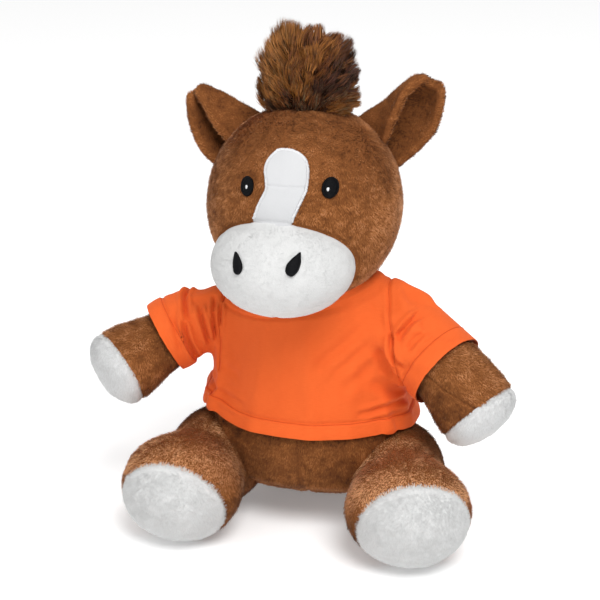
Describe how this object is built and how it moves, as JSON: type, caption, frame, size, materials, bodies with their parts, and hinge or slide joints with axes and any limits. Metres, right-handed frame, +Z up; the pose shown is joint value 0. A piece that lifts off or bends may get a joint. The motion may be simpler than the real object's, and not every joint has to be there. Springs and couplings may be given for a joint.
{
  "type": "plush horse",
  "caption": "Sitting plush horse with short-pile body, white muzzle, hooves and feet, a long-fur mane tuft and a jersey shirt with short sleeves.",
  "frame": {"origin": "centre of the flat seat panel, on the ground", "axes": "+Z up, the horse faces -Y, its own left side is +X"},
  "size_m": [0.1903, 0.1324, 0.2205],
  "materials": {
    "plush_brown": "matte",
    "plush_white": "matte",
    "faux_fur": "matte",
    "jersey_orange": "matte",
    "thread_black": "matte",
    "thread_white": "matte",
    "stuffing": "matte",
    "pellets": "matte"
  },
  "bodies": {
    "trunk": {"back_panel_left": "plush_brown", "back_panel_right": "plush_brown", "belly_panel_left": "plush_brown", "belly_panel_right": "plush_brown", "seat_panel": "plush_brown", "seat_pellet_pouch": "pellets", "body_stuffing": "stuffing", "shirt_front": "jersey_orange", "shirt_back": "jersey_orange", "shirt_neck_band": "jersey_orange"},
    "neck": {"neck_stuffing": "stuffing"},
    "head": {"head_panel_left": "plush_brown", "head_panel_right": "plush_brown", "head_stuffing": "stuffing", "muzzle_panel_left": "plush_white", "muzzle_panel_right": "plush_white", "chin_panel": "plush_white", "blaze_strip": "plush_white", "eye_left": "thread_black", "eye_right": "thread_black", "eye_highlight_left": "thread_white", "eye_highlight_right": "thread_white", "nostril_left": "thread_black", "nostril_right": "thread_black", "mane_tuft": "faux_fur"},
    "ear_left": {"ear_left_front_panel": "plush_brown", "ear_left_back_panel": "plush_brown"},
    "shoulder_left": {"arm_left_root_stuffing": "stuffing"},
    "arm_left": {"arm_left_upper_panel": "plush_brown", "arm_left_lower_panel": "plush_brown", "arm_left_hoof": "plush_white", "arm_left_stuffing": "stuffing", "sleeve_left": "jersey_orange"},
    "hip_left": {"leg_left_root_stuffing": "stuffing"},
    "leg_left": {"leg_left_inner_panel": "plush_brown", "leg_left_outer_panel": "plush_brown", "leg_left_foot_cap": "plush_white", "leg_left_stuffing": "stuffing"},
    "ear_right": {"ear_right_front_panel": "plush_brown", "ear_right_back_panel": "plush_brown"},
    "shoulder_right": {"arm_right_root_stuffing": "stuffing"},
    "arm_right": {"arm_right_upper_panel": "plush_brown", "arm_right_lower_panel": "plush_brown", "arm_right_hoof": "plush_white", "arm_right_stuffing": "stuffing", "sleeve_right": "jersey_orange"},
    "hip_right": {"leg_right_root_stuffing": "stuffing"},
    "leg_right": {"leg_right_inner_panel": "plush_brown", "leg_right_outer_panel": "plush_brown", "leg_right_foot_cap": "plush_white", "leg_right_stuffing": "stuffing"},
    "tail": {"tail": "faux_fur"}
  },
  "joints": [
    {"name": "neck_turn", "type": "hinge", "parent": "trunk", "child": "neck", "pos_m": [0, -0.027, 0.1045], "axis": [0, 0, 1], "range_deg": [-35, 35], "stiffness_Nm_per_rad": 0.2},
    {"name": "neck_nod", "type": "hinge", "parent": "neck", "child": "head", "pos_m": [0, -0.027, 0.1045], "axis": [1, 0, 0], "range_deg": [-15, 8], "stiffness_Nm_per_rad": 0.25},
    {"name": "arm_left_swing", "type": "hinge", "parent": "trunk", "child": "shoulder_left", "pos_m": [0.0412, -0.026, 0.095], "axis": [0, 0, -1], "range_deg": [-20, 12], "stiffness_Nm_per_rad": 0.06},
    {"name": "arm_left_raise", "type": "hinge", "parent": "shoulder_left", "child": "arm_left", "pos_m": [0.0412, -0.026, 0.095], "axis": [0, -1, 0], "range_deg": [-4, 50], "stiffness_Nm_per_rad": 0.06},
    {"name": "leg_left_splay", "type": "hinge", "parent": "trunk", "child": "hip_left", "pos_m": [0.0335, -0.035, 0.025], "axis": [0, 0, 1], "range_deg": [-10, 10], "stiffness_Nm_per_rad": 0.1},
    {"name": "leg_left_lift", "type": "hinge", "parent": "hip_left", "child": "leg_left", "pos_m": [0.0335, -0.035, 0.025], "axis": [-0.8307, -0.5567, 0], "range_deg": [0, 15], "stiffness_Nm_per_rad": 0.1},
    {"name": "ear_left_fold", "type": "hinge", "parent": "head", "child": "ear_left", "pos_m": [0.0334, -0.0254, 0.1753], "axis": [-0.6972, -0.0128, 0.7167], "range_deg": [-12, 20], "stiffness_Nm_per_rad": 0.01},
    {"name": "arm_right_swing", "type": "hinge", "parent": "trunk", "child": "shoulder_right", "pos_m": [-0.041, -0.026, 0.0905], "axis": [0, 0, 1], "range_deg": [-20, 12], "stiffness_Nm_per_rad": 0.06},
    {"name": "arm_right_raise", "type": "hinge", "parent": "shoulder_right", "child": "arm_right", "pos_m": [-0.041, -0.026, 0.0905], "axis": [0, 1, 0], "range_deg": [-4, 50], "stiffness_Nm_per_rad": 0.06},
    {"name": "leg_right_splay", "type": "hinge", "parent": "trunk", "child": "hip_right", "pos_m": [-0.0325, -0.035, 0.025], "axis": [0, 0, -1], "range_deg": [-10, 10], "stiffness_Nm_per_rad": 0.1},
    {"name": "leg_right_lift", "type": "hinge", "parent": "hip_right", "child": "leg_right", "pos_m": [-0.0325, -0.035, 0.025], "axis": [-0.8778, 0.4791, 0], "range_deg": [0, 15], "stiffness_Nm_per_rad": 0.1},
    {"name": "ear_right_fold", "type": "hinge", "parent": "head", "child": "ear_right", "pos_m": [-0.0362, -0.0254, 0.1739], "axis": [-0.6359, 0.0057, -0.7717], "range_deg": [-12, 20], "stiffness_Nm_per_rad": 0.01},
    {"name": "tail_swing", "type": "hinge", "parent": "trunk", "child": "tail", "pos_m": [0, 0.0256, 0.031], "axis": [1, 0, 0], "range_deg": [0, 60], "stiffness_Nm_per_rad": 0.01}
  ]
}
